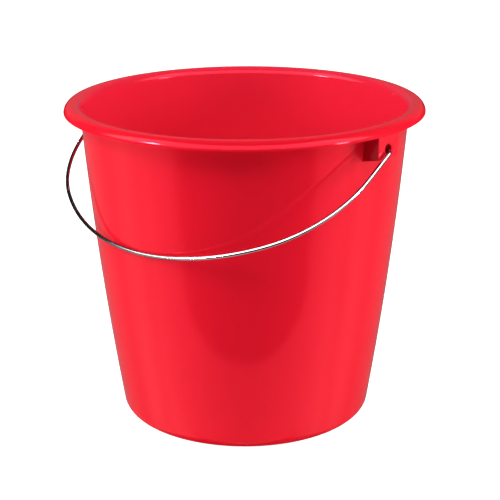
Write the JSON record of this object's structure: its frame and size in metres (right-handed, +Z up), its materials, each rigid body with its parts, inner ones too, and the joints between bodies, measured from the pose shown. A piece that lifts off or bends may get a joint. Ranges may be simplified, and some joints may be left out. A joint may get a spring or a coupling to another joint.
{
  "type": "wash bucket",
  "caption": "Round tapered wash bucket with a rolled rim and a swinging wire bail, for carrying water and suds when washing a car.",
  "frame": {"origin": "middle of the foot ring, on the floor", "axes": "+Z up along the tub's axis of revolution, X through the two lugs along the bail's pivot line, and the hanging bail lies towards -Y"},
  "size_m": [0.2902, 0.28, 0.252],
  "materials": {
    "red_plastic": "smooth glossy moulding",
    "bright_wire": "bright drawn wire"
  },
  "bodies": {
    "bucket": {"tub": "red_plastic"},
    "handle": {"bail": "bright_wire"}
  },
  "joints": [
    {"name": "bail_swing", "type": "hinge", "parent": "bucket", "child": "handle", "pos_m": [0, 0, 0.234], "axis": [-1, 0, 0], "range_deg": [0, 244.6]}
  ]
}
